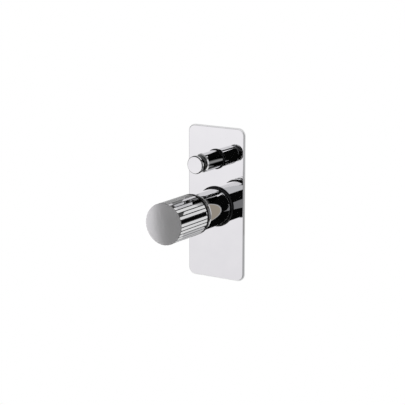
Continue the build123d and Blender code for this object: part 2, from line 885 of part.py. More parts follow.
# Headwork: neck for the sleeve, hexagon, thread into the body and a windowed cage with the front seat
rod_seal_floor = rod_bore + 2 * rod_seal_section
rod_seal_middle = (headwork_tip + headwork_hex_rear) / 2
rod_seal_depths = [rod_seal_middle + rod_seal_spacing / 2, rod_seal_middle - rod_seal_spacing / 2]
cage_seal_floor = diverter_chamber_radius - 2 * cage_seal_section
cage_seal_depth = (cage_front + cage_window_length + front_seat) / 2
with BuildPart() as diverter_headwork:
    revolve(
        half_section(
            diverter_z,
            (cage_bore, front_seat),
            (cage_radius, front_seat),
            *groove_points(cage_radius, cage_seal_floor, [cage_seal_depth], cage_seal_groove),
            (cage_radius, cage_front),
            (headwork_thread_radius, cage_front),
            (headwork_thread_radius, headwork_hex_front),
            (headwork_neck_radius, headwork_hex_front),
            (headwork_neck_radius, headwork_tip),
            (rod_bore, headwork_tip),
            *reversed(groove_points(rod_bore, rod_seal_floor, rod_seal_depths, rod_seal_groove)),
            (rod_bore, headwork_hex_rear),
            (cage_bore, headwork_hex_rear),
        ),
        axis=diverter_axis,
    )
    extrude(
        hexagon(at_depth(headwork_hex_rear, diverter_z), headwork_across_flats, cage_bore),
        amount=headwork_hex,
    )
    extrude(
        block(Plane((0, window_depth, diverter_z - cage_radius)), cage_window, cage_window_length),
        amount=2 * cage_radius,
        mode=Mode.SUBTRACT,
    )
    extrude(
        block(
            Plane((-cage_radius, window_depth, diverter_z), z_dir=(1, 0, 0)), cage_window_length, cage_window
        ),
        amount=2 * cage_radius,
        mode=Mode.SUBTRACT,
    )

with BuildPart() as headwork_washer:
    extrude(
        disc(
            at_depth(diverter_mouth, diverter_z),
            diverter_chamber_radius + washer_width,
            diverter_chamber_radius,
        ),
        amount=washer_thickness,
    )

with BuildPart() as rod_seals:
    with Locations(*[(0, depth, diverter_z) for depth in rod_seal_depths]):
        Torus(rod_bore + rod_seal_section, rod_seal_section, rotation=(90, 0, 0))

with BuildPart() as cage_seal:
    with Locations((0, cage_seal_depth, diverter_z)):
        Torus(cage_seal_floor + cage_seal_section, cage_seal_section, rotation=(90, 0, 0))

# Rod from the pull knob to the piston, with a thinner tail that the nut holds
tail_rear = piston_rear + piston_nut_height + rod_tail_spare
rod_front = pull_rear - pull_thread_depth + face_clearance
with BuildPart() as diverter_rod:
    extrude(disc(at_depth(piston_front, diverter_z), rod_radius), amount=piston_front - rod_front)
    extrude(disc(at_depth(tail_rear, diverter_z), rod_tail_radius), amount=tail_rear - piston_front)

# Piston: hub and flange, with a rubber ring on each side of the flange
tail_bore = rod_tail_radius + fit_clearance
with BuildPart() as diverter_piston:
    extrude(
        disc(at_depth(piston_rear, diverter_z), piston_hub, tail_bore), amount=piston_rear - piston_front
    )
    extrude(disc(at_depth(flange_rear, diverter_z), piston_radius, tail_bore), amount=piston_thickness)

with BuildPart() as piston_seals:
    for seal_rear in (piston_rear, flange_front):
        extrude(
            disc(at_depth(seal_rear, diverter_z), piston_seal_radius, piston_hub + fit_clearance),
            amount=piston_seal_thickness,
        )

with BuildPart() as piston_nut:
    extrude(
        hexagon(at_depth(piston_rear + piston_nut_height, diverter_z), piston_nut_flats, tail_bore),
        amount=piston_nut_height,
    )

# Return spring round the rod, from the headwork's floor to the piston
spring_start = headwork_hex_rear + spring_wire + face_clearance
spring_height = piston_front - spring_wire - face_clearance - spring_start
with BuildPart() as return_spring:
    with BuildLine():
        coil = Helix(
            spring_height / spring_turns,
            spring_height,
            spring_radius,
            center=(0, spring_start, diverter_z),
            direction=(0, 1, 0),
        )
    with BuildSketch(Plane(origin=coil @ 0, z_dir=coil % 0)):
        Circle(spring_wire)
    sweep(path=coil, is_frenet=True)

pieces = {
    "face_plate": face_plate,
    "plate_gasket": plate_gasket,
    "mixer_plate_seal": mixer_plate_seal,
    "diverter_plate_seal": diverter_plate_seal,
    "mixer_trim_ring": mixer_trim_ring,
    "diverter_trim_ring": diverter_trim_ring,
    "mixer_sleeve": mixer_sleeve,
    "glide_ring": glide_ring,
    "mixer_knob": mixer_knob,
    "knob_insert": knob_insert,
    "insert_screw": insert_screw,
    "knob_grub_screw": knob_grub_screw,
    "cartridge_nut": cartridge_nut,
    "cartridge_housing": cartridge_housing,
    "cartridge_base": cartridge_base,
    "port_seals": port_seals,
    "fixed_ceramic_disc": fixed_ceramic_disc,
    "moving_ceramic_disc": moving_ceramic_disc,
    "cartridge_spindle": cartridge_spindle,
    "spindle_seals": spindle_seals,
    "stop_ring": stop_ring,
    "valve_body": valve_body,
    "hot_inlet_union": hot_inlet_union,
    "cold_inlet_union": cold_inlet_union,
    "upper_outlet_union": upper_outlet_union,
    "lower_outlet_union": lower_outlet_union,
    "union_washers": union_washers,
    "check_valves": check_valves,
    "diverter_sleeve": diverter_sleeve,
    "diverter_knob": diverter_knob,
    "diverter_headwork": diverter_headwork,
    "headwork_washer": headwork_washer,
    "rod_seals": rod_seals,
    "cage_seal": cage_seal,
    "diverter_rod": diverter_rod,
    "diverter_piston": diverter_piston,
    "piston_seals": piston_seals,
    "piston_nut": piston_nut,
    "return_spring": return_spring,
}

os.makedirs("parts", exist_ok=True)
for name, piece in pieces.items():
    piece.part.label = name
    export_step(piece.part, f"parts/{name}.step")
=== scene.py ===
# %% [markdown]
# # A concealed shower mixer
# The imported model holds every solid of the mixer: the chrome trim in front of the wall and the brass valve
# behind it. Blender adds the finishes, the studio and the camera, and two things of its own: the ridges of
# the pipe threads and a spring wound again. Every other solid could be modelled again by hand, but
# its shape is already right, so it stays and only its material changes.

# %% Load the model
import math

import bpy
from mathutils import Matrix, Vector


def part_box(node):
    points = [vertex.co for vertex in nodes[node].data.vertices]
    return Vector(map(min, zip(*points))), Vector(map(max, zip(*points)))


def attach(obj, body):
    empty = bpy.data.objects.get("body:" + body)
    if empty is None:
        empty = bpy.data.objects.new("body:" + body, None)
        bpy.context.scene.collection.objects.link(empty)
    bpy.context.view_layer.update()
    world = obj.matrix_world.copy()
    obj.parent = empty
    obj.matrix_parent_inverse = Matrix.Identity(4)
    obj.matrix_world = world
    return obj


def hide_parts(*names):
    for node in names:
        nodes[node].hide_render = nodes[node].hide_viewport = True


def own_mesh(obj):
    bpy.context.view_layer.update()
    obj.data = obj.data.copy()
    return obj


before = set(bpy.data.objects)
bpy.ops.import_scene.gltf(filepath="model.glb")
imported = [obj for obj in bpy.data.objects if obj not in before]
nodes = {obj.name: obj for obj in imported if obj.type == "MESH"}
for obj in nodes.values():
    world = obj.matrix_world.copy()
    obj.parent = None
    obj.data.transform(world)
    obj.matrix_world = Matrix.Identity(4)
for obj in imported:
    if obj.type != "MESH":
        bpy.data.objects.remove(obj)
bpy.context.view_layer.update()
bpy.ops.object.select_all(action="DESELECT")

# %% [markdown]
# ## Camera
# The product is seen from its right and a little from above, with a long lens that keeps the edges of
# the plate almost parallel. The place, the aim and the focal length come from fitting the plate's corners
# and the rings and rims of both controls, so no shift is needed.

# %% Camera
picture_width = 405
focal_pixels = 1474.4
sensor_width = 36
camera_place = (0.8871, -1.4196, 0.3712)
pan = -0.5688
tilt = -0.2183
quarter_turn = math.pi / 2
bpy.ops.object.camera_add(location=camera_place, rotation=(quarter_turn + tilt, 0, -pan))
camera = bpy.context.object
camera.name = "photo_camera"
camera.data.sensor_width = sensor_width
camera.data.lens = sensor_width * focal_pixels / picture_width
bpy.context.scene.camera = camera
bpy.context.scene.view_settings.view_transform = "Standard"
print("lens in mm:", round(camera.data.lens, 1))

# %% [markdown]
# ## Studio
# A mirror finish shows its surroundings, so the room is the look. The wall is white where the camera
# or a mirror sees it, and clear from behind, so that the valve can be looked at from the back. The floor
# lies below the picture. The world gives an even light, white to the camera and a dim room to the mirrors,
# which gives the rims of the polished pieces their thin dark lines.

# %% Helper for the stage
def stage_material(name, colour, seen, mirrored):
    """A pale surface: evenly lit where it is seen, a little less in mirrors, and clear from behind."""
    material = bpy.data.materials.new(name)
    material.use_nodes = True
    tree = material.node_tree
    tree.nodes.clear()
    paths = tree.nodes.new("ShaderNodeLightPath")
    side = tree.nodes.new("ShaderNodeNewGeometry")
    paint = tree.nodes.new("ShaderNodeBsdfDiffuse")
    paint.inputs["Color"].default_value = (*colour, 1)
    glow = tree.nodes.new("ShaderNodeEmission")
    glow.inputs["Color"].default_value = (1, 1, 1, 1)
    clear = tree.nodes.new("ShaderNodeBsdfTransparent")
    tone = tree.nodes.new("ShaderNodeMapRange")
    tone.inputs["To Min"].default_value = mirrored
    tone.inputs["To Max"].default_value = 1.0
    either = tree.nodes.new("ShaderNodeMath")
    either.operation = "MAXIMUM"
    watched = tree.nodes.new("ShaderNodeMath")
    watched.operation = "MULTIPLY"
    watched.inputs[1].default_value = seen
    front = tree.nodes.new("ShaderNodeMixShader")
    both = tree.nodes.new("ShaderNodeMixShader")
    output = tree.nodes.new("ShaderNodeOutputMaterial")
    tree.links.new(paths.outputs["Is Camera Ray"], tone.inputs["Value"])
    tree.links.new(tone.outputs["Result"], glow.inputs["Strength"])
    tree.links.new(paths.outputs["Is Camera Ray"], either.inputs[0])
    tree.links.new(paths.outputs["Is Glossy Ray"], either.inputs[1])
    tree.links.new(either.outputs[0], watched.inputs[0])
    tree.links.new(watched.outputs[0], front.inputs["Fac"])
    tree.links.new(paint.outputs[0], front.inputs[1])
    tree.links.new(glow.outputs[0], front.inputs[2])
    tree.links.new(side.outputs["Backfacing"], both.inputs["Fac"])
    tree.links.new(front.outputs[0], both.inputs[1])
    tree.links.new(clear.outputs[0], both.inputs[2])
    tree.links.new(both.outputs[0], output.inputs["Surface"])
    return material


# %% Wall and floor
stage_size = 6
floor_height = -1.4
wall_colour = (0.9, 0.9, 0.9)
wall_seen = 1.0
wall_mirrored = 0.72
floor_colour = (0.88, 0.88, 0.87)
floor_seen = 0.35
floor_mirrored = 0.8
bpy.ops.mesh.primitive_plane_add(size=stage_size, rotation=(quarter_turn, 0, 0))
wall = bpy.context.object
wall.name = "stage_wall"
wall.data.materials.append(stage_material("stage_wall_paint", wall_colour, wall_seen, wall_mirrored))
bpy.ops.mesh.primitive_plane_add(size=stage_size, location=(0, -stage_size / 2, floor_height))
floor = bpy.context.object
floor.name = "stage_floor"
floor.data.materials.append(stage_material("stage_floor_paint", floor_colour, floor_seen, floor_mirrored))
print("stage:", wall.name, floor.name)

# %% World
light_strength = 0.75
mirrored_strength = 0.22
world = bpy.data.worlds.new("studio_world")
bpy.context.scene.world = world
world.use_nodes = True
sky = world.node_tree
sky_paths = sky.nodes.new("ShaderNodeLightPath")
seen_tone = sky.nodes.new("ShaderNodeMapRange")
seen_tone.inputs["To Min"].default_value = light_strength
seen_tone.inputs["To Max"].default_value = 1.0
room_tone = sky.nodes.new("ShaderNodeMix")
room_tone.inputs["B"].default_value = mirrored_strength
sky.links.new(sky_paths.outputs["Is Camera Ray"], seen_tone.inputs["Value"])
sky.links.new(sky_paths.outputs["Is Glossy Ray"], room_tone.inputs["Factor"])
sky.links.new(seen_tone.outputs["Result"], room_tone.inputs["A"])
sky.links.new(room_tone.outputs["Result"], sky.nodes["Background"].inputs["Strength"])
sky.nodes["Background"].inputs["Color"].default_value = (1, 1, 1, 1)
print("world:", world.name)

# %% [markdown]
# ## Boards
# A photographer stands white and black boards round polished metal, to give its flat and round faces
# light and dark bands. Lamps alone would leave the chrome plain white. The boards are seen only in
# reflections, so they neither stand in the picture nor change the light. The large ones stand in front of
# the mixer; narrow ones lie beside the plate, where only the sleeves and the knobs mirror them. A mirror
# that is seen in a mirror needs tones of its own, so some boards are clear until the second reflection, and
# others show only one side or only to pieces close by.

# %% Helpers for boards
later = "second reflection"
behind = "from behind"
in_front = "from the front"
first_reflection = 1.5
fade_low = -0.52
fade_high = -0.14


def board_face(name, colour, low_share=1.0, shown=None, reach=None):
    """A glowing face for a board, which may grow darker below and may be clear to most rays."""
    material = bpy.data.materials.new(name + "_face")
    material.use_nodes = True
    tree = material.node_tree
    tree.nodes.clear()
    place = tree.nodes.new("ShaderNodeNewGeometry")
    paths = tree.nodes.new("ShaderNodeLightPath")
    height = tree.nodes.new("ShaderNodeSeparateXYZ")
    fade = tree.nodes.new("ShaderNodeMapRange")
    fade.inputs["From Min"].default_value = fade_low
    fade.inputs["From Max"].default_value = fade_high
    fade.inputs["To Min"].default_value = low_share
    fade.inputs["To Max"].default_value = 1.0
    glow = tree.nodes.new("ShaderNodeEmission")
    glow.inputs["Color"].default_value = (*colour, 1)
    clear = tree.nodes.new("ShaderNodeBsdfTransparent")
    mix = tree.nodes.new("ShaderNodeMixShader")
    mix.inputs["Fac"].default_value = 1.0
    output = tree.nodes.new("ShaderNodeOutputMaterial")
    tree.links.new(place.outputs["Position"], height.inputs[0])
    tree.links.new(height.outputs["Z"], fade.inputs["Value"])
    tree.links.new(fade.outputs["Result"], glow.inputs["Strength"])
    if shown == later:
        second = tree.nodes.new("ShaderNodeMath")
        second.operation = "GREATER_THAN"
        second.inputs[1].default_value = first_reflection
        tree.links.new(paths.outputs["Glossy Depth"], second.inputs[0])
        tree.links.new(second.outputs[0], mix.inputs["Fac"])
    if reach:
        near = tree.nodes.new("ShaderNodeMath")
        near.operation = "LESS_THAN"
        near.inputs[1].default_value = reach
        near_back = tree.nodes.new("ShaderNodeMath")
        near_back.operation = "MULTIPLY"
        tree.links.new(paths.outputs["Ray Length"], near.inputs[0])
        tree.links.new(near.outputs[0], near_back.inputs[0])
        tree.links.new(place.outputs["Backfacing"], near_back.inputs[1])
        tree.links.new(near_back.outputs[0], mix.inputs["Fac"])
    if shown in (behind, in_front):
        tree.links.new(place.outputs["Backfacing"], mix.inputs["Fac"])
    front_side, back_side = (glow, clear) if shown == in_front else (clear, glow)
    tree.links.new(front_side.outputs[0], mix.inputs[1])
    tree.links.new(back_side.outputs[0], mix.inputs[2])
    tree.links.new(mix.outputs[0], output.inputs["Surface"])
    return material


def only_in_mirrors(piece, material):
    """Give a plane its face, and keep it out of the picture, the light and the shadows."""
    piece.data.materials.append(material)
    piece.visible_camera = False
    piece.visible_diffuse = False
    piece.visible_shadow = False
    piece.visible_transmission = False


def board(name, x_range, z_range, depth, colour, low_share=1.0, shown=None, reach=None, roll=0.0):
    """An upright board, parallel to the wall, which may be rolled about its middle."""
    middle = (sum(x_range) / 2, depth, sum(z_range) / 2)
    bpy.ops.mesh.primitive_plane_add(size=1, location=middle, rotation=(quarter_turn, roll, 0))
    piece = bpy.context.object
    piece.name = name
    piece.scale = (x_range[1] - x_range[0], z_range[1] - z_range[0], 1)
    only_in_mirrors(piece, board_face(name, colour, low_share, shown, reach))


# %% Boards in front
white = (0.9, 0.885, 0.91)
grey = (0.7, 0.69, 0.71)
front_grey = (0.62, 0.615, 0.63)
left_grey = (0.35, 0.35, 0.355)
black = (0.002, 0.002, 0.002)
board("white_board_left", (-6.0, -0.62), (-1.3, 0.1), -1.22, white, low_share=0.89)
board("grey_board_front", (-0.62, 4.0), (-1.3, 1.2), -1.225, front_grey, low_share=0.5)
board("grey_board_left", (-6.0, -0.62), (0.1, 1.2), -1.225, left_grey)
board("black_board_low", (-0.62, 4.0), (-1.3, 0.3), -1.2, black, shown=later)
board("black_board_right", (-0.22, 4.0), (0.3, 0.815), -1.2, black, shown=later)
board("black_board_top", (-0.22, 0.05), (0.815, 0.9), -1.2, black, shown=later)
board("white_board_slot", (0.05, 0.3), (0.815, 0.86), -1.2, white, shown=later)
board("grey_board_high", (-1.2, -0.22), (0.3, 1.2), -1.21, grey, shown=later)
board("white_board_high", (-6.0, -0.62), (0.1, 1.2), -1.215, white, shown=later)
board("black_board_near", (-0.07, 0.3), (-0.2, 0.15), -0.18, black, reach=0.125)
board("black_board_close", (0.06, 0.11), (0.045, 0.09), -0.085, black, reach=0.078)
print("front boards ready")

# %% Boards beside the plate
beige = (0.312, 0.276, 0.23)
strip_grey = (0.46, 0.46, 0.465)
edge_grey = (0.28, 0.28, 0.285)
side_grey = (0.33, 0.33, 0.33)
dark_grey = (0.06, 0.06, 0.06)
pale = (0.78, 0.775, 0.785)
# The beige strip lies on the wall just right of the plate, where the wall is shadowed: a painted shadow,
# seen only in mirrors.
board("beige_painted_shadow_wall", (0.0392, 0.0545), (-0.035, 0.032), -0.001, beige)
board("grey_strip_wall", (0.0378, 0.0402), (-0.095, 0.095), -0.0008, strip_grey)
board("grey_strip_edge", (0.0385, 0.065), (-0.1, 0.1), -0.006, edge_grey, shown=behind)
board("black_strip_wall", (0.0635, 0.3), (-0.013, 0.021), -0.001, black)
board("dark_wall_right", (0.105, 3.0), (-1.3, 1.2), -0.0012, dark_grey)
board("dark_wall_high", (0.02, 0.105), (0.12, 1.2), -0.0012, dark_grey)
board("dark_patch_wall", (0.06, 0.105), (0.057, 0.085), -0.001, dark_grey)
board("grey_strip_left", (-0.14, -0.0385), (-0.02, 0.095), -0.001, side_grey)
board("pale_strip_top", (-0.07, 0.045), (0.0902, 0.13), -0.006, pale, shown=behind)
board("dark_strip_waist", (0.026, 0.034), (0.05, 0.062), -0.025, dark_grey, shown=in_front)
print("side boards ready")

# %% Boards for mirrors seen in mirrors
shade_grey = (0.22, 0.22, 0.22)
low_grey = (0.55, 0.55, 0.555)
band_grey = (0.54, 0.54, 0.555)
patch_grey = (0.18, 0.18, 0.185)
band_roll = 0.383
board("black_second_left", (-1.0, -0.62), (-1.3, -0.52), -1.212, black, shown=later)
board("grey_second_high", (-0.08, -0.031), (0.035, 0.09), -0.02, shade_grey, shown=later)
board("pale_second_low", (-0.06, 0.06), (-0.14, -0.066), -0.02, low_grey, shown=later)
board("black_second_top", (-0.002, 0.02), (0.0645, 0.085), -0.012, black, shown=later)
board("pale_second_top", (-0.024, 0.036), (0.0515, 0.0875), -0.1, band_grey, shown=later, roll=band_roll)
board("grey_second_right", (0.05, 0.09), (-0.04, 0.012), -0.1, patch_grey, shown=later)
print("second boards ready")

# %% [markdown]
# The small sleeve carries one soft grey light along its middle, mirrored first in the plate. A plain board
# would give it a hard edge, so a wedge beside the sleeve gives it, which fades to both sides. It opens away
# from the sleeve's axis, so the light keeps its width along the sleeve, and it is clear until the second
# reflection, so the plate alone never shows it.

# %% Soft light for the small sleeve
wedge_axis = (0.0108, 0.0515)
wedge_slope = 0.61
wedge_tone = 0.283
wedge_middle = (0.0275, -0.012, wedge_axis[1])
wedge_size = (0.025, 0.04, 1)
bpy.ops.mesh.primitive_plane_add(size=1, location=wedge_middle, rotation=(quarter_turn, 0, 0))
wedge = bpy.context.object
wedge.name = "grey_wedge_light"
wedge.scale = wedge_size
wedge_face = bpy.data.materials.new("grey_wedge_light_face")
wedge_face.use_nodes = True
wedge_tree = wedge_face.node_tree
wedge_tree.nodes.clear()


def wedge_maths(operation, first, second):
    """One step of arithmetic on sockets or plain numbers."""
    step = wedge_tree.nodes.new("ShaderNodeMath")
    step.operation = operation
    for socket, value in zip(step.inputs, (first, second)):
        if isinstance(value, float):
            socket.default_value = value
        else:
            wedge_tree.links.new(value, socket)
    return step.outputs[0]


wedge_place = wedge_tree.nodes.new("ShaderNodeNewGeometry")
wedge_parts = wedge_tree.nodes.new("ShaderNodeSeparateXYZ")
wedge_tree.links.new(wedge_place.outputs["Position"], wedge_parts.inputs[0])
across = wedge_maths("SUBTRACT", wedge_parts.outputs["X"], wedge_axis[0])
rise = wedge_maths("SUBTRACT", wedge_parts.outputs["Z"], wedge_axis[1])
steepness = wedge_maths("DIVIDE", wedge_maths("ABSOLUTE", rise, 0.0), across)
softness = wedge_tree.nodes.new("ShaderNodeMapRange")
softness.interpolation_type = "SMOOTHSTEP"
softness.inputs["From Min"].default_value = wedge_slope
softness.inputs["From Max"].default_value = 0.0
softness.inputs["To Max"].default_value = wedge_tone
wedge_tree.links.new(steepness, softness.inputs["Value"])
wedge_glow = wedge_tree.nodes.new("ShaderNodeEmission")
wedge_tree.links.new(softness.outputs["Result"], wedge_glow.inputs["Strength"])
wedge_clear = wedge_tree.nodes.new("ShaderNodeBsdfTransparent")
wedge_paths = wedge_tree.nodes.new("ShaderNodeLightPath")
wedge_seen = wedge_maths("GREATER_THAN", wedge_paths.outputs["Glossy Depth"], first_reflection)
wedge_mix = wedge_tree.nodes.new("ShaderNodeMixShader")
wedge_output = wedge_tree.nodes.new("ShaderNodeOutputMaterial")
wedge_tree.links.new(wedge_seen, wedge_mix.inputs["Fac"])
wedge_tree.links.new(wedge_clear.outputs[0], wedge_mix.inputs[1])
wedge_tree.links.new(wedge_glow.outputs[0], wedge_mix.inputs[2])
wedge_tree.links.new(wedge_mix.outputs[0], wedge_output.inputs["Surface"])
only_in_mirrors(wedge, wedge_face)
print("soft light:", wedge.name)

# %% [markdown]
# ## Lamps
# A large soft lamp from the upper left stands for a softbox and stays out of the mirrors. A second one
# behind the wall shapes the brass and the plastics of the valve when they are looked at from the back.

# %% Lamps
lamp_size = 1.2
lamp_power = 14
key_place = (-0.9, -1.1, 1.3)
key_turn = (math.radians(45), 0, math.radians(-40))
back_place = (0.9, 1.4, 1.1)
back_turn = (math.radians(-50), 0, math.radians(-35))
bpy.ops.object.light_add(type="AREA", location=key_place, rotation=key_turn)
key_lamp = bpy.context.object
key_lamp.name = "key_softbox"
key_lamp.visible_glossy = False
bpy.ops.object.light_add(type="AREA", location=back_place, rotation=back_turn)
back_lamp = bpy.context.object
back_lamp.name = "back_softbox"
for lamp in (key_lamp, back_lamp):
    lamp.data.size = lamp_size
    lamp.data.energy = lamp_power
print("lamps:", key_lamp.name, back_lamp.name)

# %% [markdown]
# ## Metals
# Polished chrome is a mirror with a trace of blue. What makes it real is small: a thin film left by wiping,
# which is a soft change of roughness, and a surface that is never quite flat. Noise on the object's
# own coordinates gives both, so the pattern stays on the piece when it moves.

# %% Helpers for finishes
pattern_low = 0.3
pattern_high = 0.7


def new_finish(name, metallic=0.0):
    """A material with its shader and a texture coordinate, ready for patterns."""
    material = bpy.data.materials.new(name)
    material.use_nodes = True
    tree = material.node_tree
    shader = tree.nodes["Principled BSDF"]
    shader.inputs["Metallic"].default_value = metallic
    place = tree.nodes.new("ShaderNodeTexCoord")
    return material, tree, shader, place.outputs["Object"]


def noise(tree, place, scale, detail=3.0, stretch=(1, 1, 1)):
    """Noise on the object's coordinates, stretched along its axes."""
    mapping = tree.nodes.new("ShaderNodeMapping")
    mapping.inputs["Scale"].default_value = stretch
    texture = tree.nodes.new("ShaderNodeTexNoise")
    texture.inputs["Scale"].default_value = scale
    texture.inputs["Detail"].default_value = detail
    tree.links.new(place, mapping.inputs["Vector"])
    tree.links.new(mapping.outputs[0], texture.inputs["Vector"])
    return texture.outputs["Fac"]


def ramp_colour(tree, factor, low, high):
    """A colour between two close ones, after a pattern."""
    ramp = tree.nodes.new("ShaderNodeValToRGB")
    ramp.color_ramp.elements[0].position = pattern_low
    ramp.color_ramp.elements[1].position = pattern_high
    ramp.color_ramp.elements[0].color = (*low, 1)
    ramp.color_ramp.elements[1].color = (*high, 1)
    tree.links.new(factor, ramp.inputs["Fac"])
    return ramp.outputs["Color"]


def tint(tree, factor, low, high, shader):
    """The base colour, between two colours."""
    tree.links.new(ramp_colour(tree, factor, low, high), shader.inputs["Base Color"])


def spread(tree, factor, low, high):
    """A pattern's middle, spread from a low value to a high one."""
    values = tree.nodes.new("ShaderNodeMapRange")
    values.inputs["From Min"].default_value = pattern_low
    values.inputs["From Max"].default_value = pattern_high
    values.inputs["To Min"].default_value = low
    values.inputs["To Max"].default_value = high
    tree.links.new(factor, values.inputs["Value"])
    return values.outputs["Result"]


def relief(tree, height, depth, shader):
    """A bump of a real depth, in metres."""
    bump = tree.nodes.new("ShaderNodeBump")
    bump.inputs["Strength"].default_value = 1.0
    bump.inputs["Distance"].default_value = depth
    tree.links.new(height, bump.inputs["Height"])
    tree.links.new(bump.outputs["Normal"], shader.inputs["Normal"])


def dress(material, *pieces):
    """Give a finish to pieces of the model."""
    for piece in pieces:
        nodes[piece].material_slots[0].material = material
    print(material.name, "on", len(pieces), "pieces")


# %% Polished chrome
mirror_low = (0.9, 0.9, 0.91)
mirror_high = (0.93, 0.93, 0.935)
# The trim rings are chrome whose base colour is painted almost black: painted shade, for the dark line the
# rings show where they meet the plate.
ring_painted_shade_low = (0.02, 0.02, 0.021)
ring_painted_shade_high = (0.028, 0.028, 0.029)
tint_scale = 40
film_scale = 25
film_stretch = (1, 1, 0.3)
film_roughness = (0.01, 0.03)
wave_scale = 90
wave_detail = 1.0
wave_depth = 0.000004


def polished_chrome(name, low, high):
    """A mirror with a wiped film and the faintest waviness."""
    material, tree, shader, place = new_finish(name, metallic=1.0)
    tint(tree, noise(tree, place, tint_scale), low, high, shader)
    film = noise(tree, place, film_scale, stretch=film_stretch)
    tree.links.new(spread(tree, film, *film_roughness), shader.inputs["Roughness"])
    relief(tree, noise(tree, place, wave_scale, wave_detail), wave_depth, shader)
    return material


plate_chrome = polished_chrome("polished_chrome", mirror_low, mirror_high)
ring_chrome_painted_shade = polished_chrome("ring_chrome_painted_shade", ring_painted_shade_low, ring_painted_shade_high)
dress(plate_chrome, "face_plate", "mixer_sleeve", "diverter_sleeve")
dress(ring_chrome_painted_shade, "mixer_trim_ring", "diverter_trim_ring")

# %% [markdown]
# ## Knobs
# The photo shows the pull knob's narrow waist and the bevel of its cap dark, and the cap itself bright. A
# single tone for the whole piece would lose the cap's bright face. The depth along the knob's axis tells the
# places apart, so one material holds all the tones.

# %% Helpers for two tones
def share_by_depth(tree, place, start, end):
    """Nothing up to one depth along the controls' axes, all of it beyond another."""
    depth = tree.nodes.new("ShaderNodeSeparateXYZ")
    share = tree.nodes.new("ShaderNodeMapRange")
    share.inputs["From Min"].default_value = start
    share.inputs["From Max"].default_value = end
    tree.links.new(place, depth.inputs[0])
    tree.links.new(depth.outputs["Y"], share.inputs["Value"])
    return share.outputs["Result"]


def share_by_radius(tree, place, axis_height, inner, outer):
    """Nothing within one radius about a control's axis, all of it beyond another."""
    axis = tree.nodes.new("ShaderNodeMapping")
    axis.inputs["Location"].default_value = (0, 0, -axis_height)
    axis.inputs["Scale"].default_value = (1, 0, 1)
    radius = tree.nodes.new("ShaderNodeVectorMath")
    radius.operation = "LENGTH"
    share = tree.nodes.new("ShaderNodeMapRange")
    share.inputs["From Min"].default_value = inner
    share.inputs["From Max"].default_value = outer
    tree.links.new(place, axis.inputs["Vector"])
    tree.links.new(axis.outputs[0], radius.inputs[0])
    tree.links.new(radius.outputs["Value"], share.inputs["Value"])
    return share.outputs["Result"]


def two_tones(tree, factor, first, second):
    """One colour where the factor is nothing, another where it is one."""
    mix = tree.nodes.new("ShaderNodeMix")
    mix.data_type = "RGBA"
    tree.links.new(factor, mix.inputs["Factor"])
    tree.links.new(first, mix.inputs["A"])
    tree.links.new(second, mix.inputs["B"])
    return mix.outputs["Result"]


# %% Pull knob chrome
blend_depth = 0.0002
cap_thickness = 0.0026
cap_edge = 0.001
# The waist and the cap's bevel are painted dark in the base colour: painted shade, for the dark that the
# chrome mirrors there.
waist_painted_shade_colours = ((0.05, 0.05, 0.052), (0.065, 0.065, 0.067))
bevel_painted_shade_colours = ((0.14, 0.14, 0.143), (0.18, 0.18, 0.183))
pull_film = (0.015, 0.045)
cap_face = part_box("diverter_knob")[0][1]
cap_rear = cap_face + cap_thickness
bevel_rear = cap_face + cap_edge
flat_rear = cap_face + blend_depth
pull_chrome, pull_tree, pull_shader, pull_place = new_finish("pull_chrome", metallic=1.0)
pull_pattern = noise(pull_tree, pull_place, tint_scale)
waist_painted_shade = ramp_colour(pull_tree, pull_pattern, *waist_painted_shade_colours)
bevel_painted_shade = ramp_colour(pull_tree, pull_pattern, *bevel_painted_shade_colours)
cap_tone = ramp_colour(pull_tree, pull_pattern, mirror_low, mirror_high)
cap_share = share_by_depth(pull_tree, pull_place, cap_rear + blend_depth, cap_rear)
bevel_share = share_by_depth(pull_tree, pull_place, bevel_rear, bevel_rear - blend_depth)
flat_share = share_by_depth(pull_tree, pull_place, flat_rear, flat_rear - blend_depth / 2)
rim_colour = two_tones(pull_tree, cap_share, waist_painted_shade, cap_tone)
bevel_colour = two_tones(pull_tree, bevel_share, rim_colour, bevel_painted_shade)
pull_colour = two_tones(pull_tree, flat_share, bevel_colour, cap_tone)
pull_tree.links.new(pull_colour, pull_shader.inputs["Base Color"])
pull_roughness = spread(pull_tree, noise(pull_tree, pull_place, film_scale), *pull_film)
pull_tree.links.new(pull_roughness, pull_shader.inputs["Roughness"])
relief(pull_tree, noise(pull_tree, pull_place, wave_scale, wave_detail), wave_depth, pull_shader)
dress(pull_chrome, "diverter_knob")

# %% [markdown]
# The large knob's facets are mirrors too, but its domed face is lapped to a soft satin, which is why it
# shades gently from one side to the other. Four materials would need the faces picked one by one. Here the
# depth along its axis parts the face, the facets and the dark collar, and the radius parts the facets from
# the grooves between them. The collar, the grooves and the inner part of the rear edge are painted near
# black
# in the base colour: painted shade, for the dark that the chrome mirrors there and the shade in the grooves.

# %% Faceted knob colours
knob_axis_height = -0.004
knob_rim = -0.1112
knob_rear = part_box("mixer_knob")[1][1]
collar_depth = 0.0029
rear_edge = 0.0005
collar_front = knob_rear - collar_depth
collar_rear = knob_rear - rear_edge
rear_radius = 0.0229
edge_radius = 0.0232
groove_radius = 0.0234
facet_radius = 0.0236
collar_painted_shade_colours = ((0.1, 0.1, 0.103), (0.13, 0.13, 0.133))
groove_painted_shade_colours = ((0.028, 0.028, 0.028), (0.032, 0.032, 0.032))
satin_colours = ((0.79, 0.785, 0.795), (0.83, 0.825, 0.835))
knob_chrome, knob_tree, knob_shader, knob_place = new_finish("knob_chrome", metallic=1.0)
knob_pattern = noise(knob_tree, knob_place, tint_scale)
collar_painted_shade = ramp_colour(knob_tree, knob_pattern, *collar_painted_shade_colours)
groove_painted_shade = ramp_colour(knob_tree, knob_pattern, *groove_painted_shade_colours)
